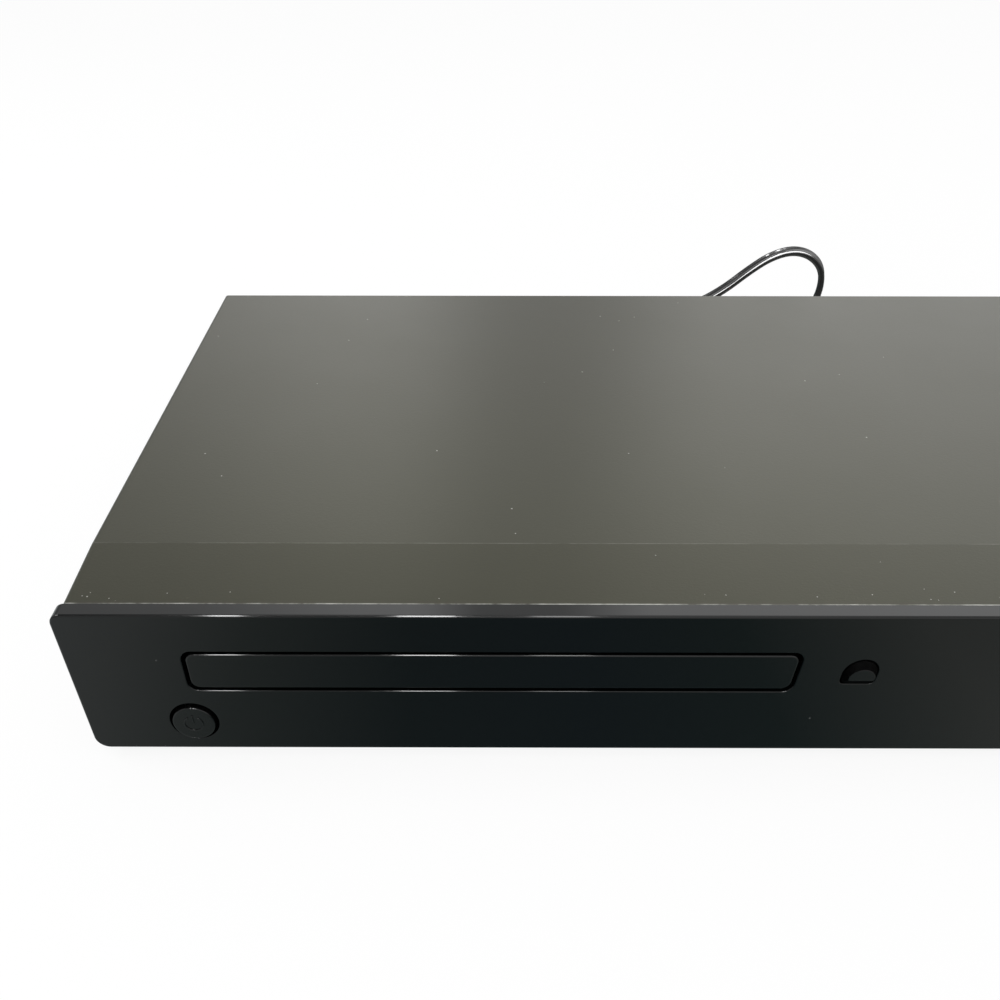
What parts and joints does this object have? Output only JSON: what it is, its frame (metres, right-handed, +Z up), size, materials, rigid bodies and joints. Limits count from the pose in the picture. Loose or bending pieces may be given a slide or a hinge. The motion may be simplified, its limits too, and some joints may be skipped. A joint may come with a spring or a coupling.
{
  "type": "dvd player",
  "caption": "Slim black disc player: folded steel cover, gloss fascia, motor-driven disc tray, round and arched push buttons, phono sockets and a captive mains lead",
  "frame": {"origin": "on the standing surface, under the middle of the player's own box without the free cord", "axes": "+X to the right as seen from the front, the front faces -Y, +Z up from the surface that it stands on"},
  "size_m": [0.36, 0.297, 0.0562],
  "materials": {
    "fascia": "moulded gloss black",
    "window": "smoked clear plastic",
    "cover": "fine satin dark grey paint",
    "zinc_steel": "zinc-coated sheet",
    "rear_steel": "satin black paint",
    "feet": "moulded",
    "pads": "soft pad",
    "screws": "black-plated",
    "buttons": "moulded gloss black",
    "brown_board": "paper laminate",
    "green_board": "glass-fibre laminate with green lacquer",
    "switches": "moulded",
    "display": "moulded reflector",
    "receiver": "dark epoxy",
    "tray": "moulded black",
    "loader": "moulded black",
    "gears": "acetal, natural white",
    "belt": "square-cut belt",
    "bright_steel": "ground steel",
    "die_cast": "die-cast or bent sheet",
    "lens": "clear coated lens in a black holder",
    "dampers": "soft grommet",
    "chips": "moulded packages",
    "sleeves": "shrunk sleeve",
    "ferrite": "ferrite and tape",
    "fuse": "glass tube and plated clips",
    "connectors": "moulded white",
    "nickel": "nickel plate",
    "orange": "moulded",
    "yellow": "moulded",
    "white": "moulded",
    "red": "moulded",
    "cord": "black flexible covering",
    "tie": "strap"
  },
  "bodies": {
    "case": {"front_panel": "fascia", "display_window": "window", "top_cover": "cover", "bottom_chassis": "zinc_steel", "rear_panel": "rear_steel", "feet": "feet", "foot_pads": "pads", "cover_screws": "screws", "front_board": "brown_board", "tact_switches": "switches", "display_module": "display", "remote_receiver": "receiver", "loader_frame": "loader", "loading_motor": "zinc_steel", "drive_belt": "belt", "clamp_bridge": "zinc_steel", "inner_screws": "screws", "main_board": "green_board", "power_board": "brown_board", "board_chips": "chips", "board_capacitors": "sleeves", "transformer": "ferrite", "bulk_capacitor": "sleeves", "fuse": "fuse", "heat_sink": "die_cast", "line_filter": "ferrite", "board_connectors": "connectors", "ribbon_cables": "connectors", "jack_block": "loader", "jack_shells": "nickel", "digital_ring": "orange", "video_ring": "yellow", "left_audio_ring": "white", "right_audio_ring": "red", "cord_gland": "cord", "power_cord": "cord", "cord_coil": "cord", "cord_tie": "tie", "mains_plug": "cord", "plug_pins": "nickel"},
    "tray": {"disc_tray": "tray", "tray_door": "fascia"},
    "power_button": {"power_button": "buttons"},
    "play_button": {"play_button": "buttons"},
    "eject_button": {"eject_button": "buttons"},
    "drive_gear": {"drive_gear": "gears"},
    "pulley_gear": {"pulley_gear": "gears"},
    "motor_pulley": {"motor_pulley": "gears"},
    "clamper": {"disc_clamper": "tray"},
    "traverse": {"traverse_frame": "zinc_steel", "guide_rods": "bright_steel", "spindle_motor": "zinc_steel", "sled_motor": "zinc_steel", "traverse_dampers": "dampers"},
    "turntable": {"turntable": "tray"},
    "sled": {"pickup_sled": "die_cast", "pickup_lens": "lens"},
    "lead_screw": {"lead_screw": "gears"},
    "cam_slider": {"cam_slider": "gears"}
  },
  "joints": [
    {"name": "tray_slide", "type": "slide", "parent": "case", "child": "tray", "axis": [0, -1, 0], "range_m": [0, 0.13]},
    {"name": "drive_gear_turn", "type": "hinge", "parent": "case", "child": "drive_gear", "pos_m": [-0.0275, -0.07758, 0.017], "axis": [0, 0, 1], "range_deg": [-5, 940]},
    {"name": "pulley_gear_turn", "type": "hinge", "parent": "case", "child": "pulley_gear", "pos_m": [-0.0443, -0.07758, 0.017], "axis": [0, 0, 1], "range_deg": [-2340, 5]},
    {"name": "motor_pulley_turn", "type": "hinge", "parent": "case", "child": "motor_pulley", "pos_m": [-0.0875, -0.07758, 0.017], "axis": [0, 0, 1], "range_deg": [-8650, 5]},
    {"name": "power_button_press", "type": "slide", "parent": "case", "child": "power_button", "axis": [0, 1, 0], "range_m": [0, 0.0005], "stiffness_N_per_m": 600},
    {"name": "play_button_press", "type": "slide", "parent": "case", "child": "play_button", "axis": [0, 1, 0], "range_m": [0, 0.0005], "stiffness_N_per_m": 600},
    {"name": "eject_button_press", "type": "slide", "parent": "case", "child": "eject_button", "axis": [0, 1, 0], "range_m": [0, 0.0005], "stiffness_N_per_m": 600},
    {"name": "traverse_tilt", "type": "hinge", "parent": "case", "child": "traverse", "pos_m": [-0.0795, 0.05593, 0.017], "axis": [1, 0, 0], "range_deg": [0, 2.4]},
    {"name": "cam_slide", "type": "slide", "parent": "case", "child": "cam_slider", "axis": [1, 0, 0], "range_m": [-0.00001, 0.01201]},
    {"name": "turntable_spin", "type": "hinge", "parent": "traverse", "child": "turntable", "pos_m": [-0.0795, -0.03807, 0.028], "axis": [0, 0, 1], "continuous": true},
    {"name": "clamper_spin", "type": "hinge", "parent": "case", "child": "clamper", "pos_m": [-0.0795, -0.03807, 0.034], "axis": [0, 0, 1], "continuous": true},
    {"name": "sled_slide", "type": "slide", "parent": "traverse", "child": "sled", "axis": [0, 1, 0], "range_m": [0, 0.035]},
    {"name": "lead_screw_turn", "type": "hinge", "parent": "traverse", "child": "lead_screw", "pos_m": [-0.115, 0, 0.0187], "axis": [0, 1, 0], "range_deg": [-4210, 5]}
  ],
  "couplings": [
    {"joint": "drive_gear_turn", "follows": "tray_slide", "rad_per_m": 125},
    {"joint": "pulley_gear_turn", "follows": "tray_slide", "rad_per_m": -312.5},
    {"joint": "motor_pulley_turn", "follows": "tray_slide", "rad_per_m": -1159.3},
    {"joint": "cam_slide", "follows": "traverse_tilt", "m_per_rad": 0.28648},
    {"joint": "clamper_spin", "follows": "turntable_spin", "ratio": 1},
    {"joint": "lead_screw_turn", "follows": "sled_slide", "rad_per_m": -2094.4}
  ]
}
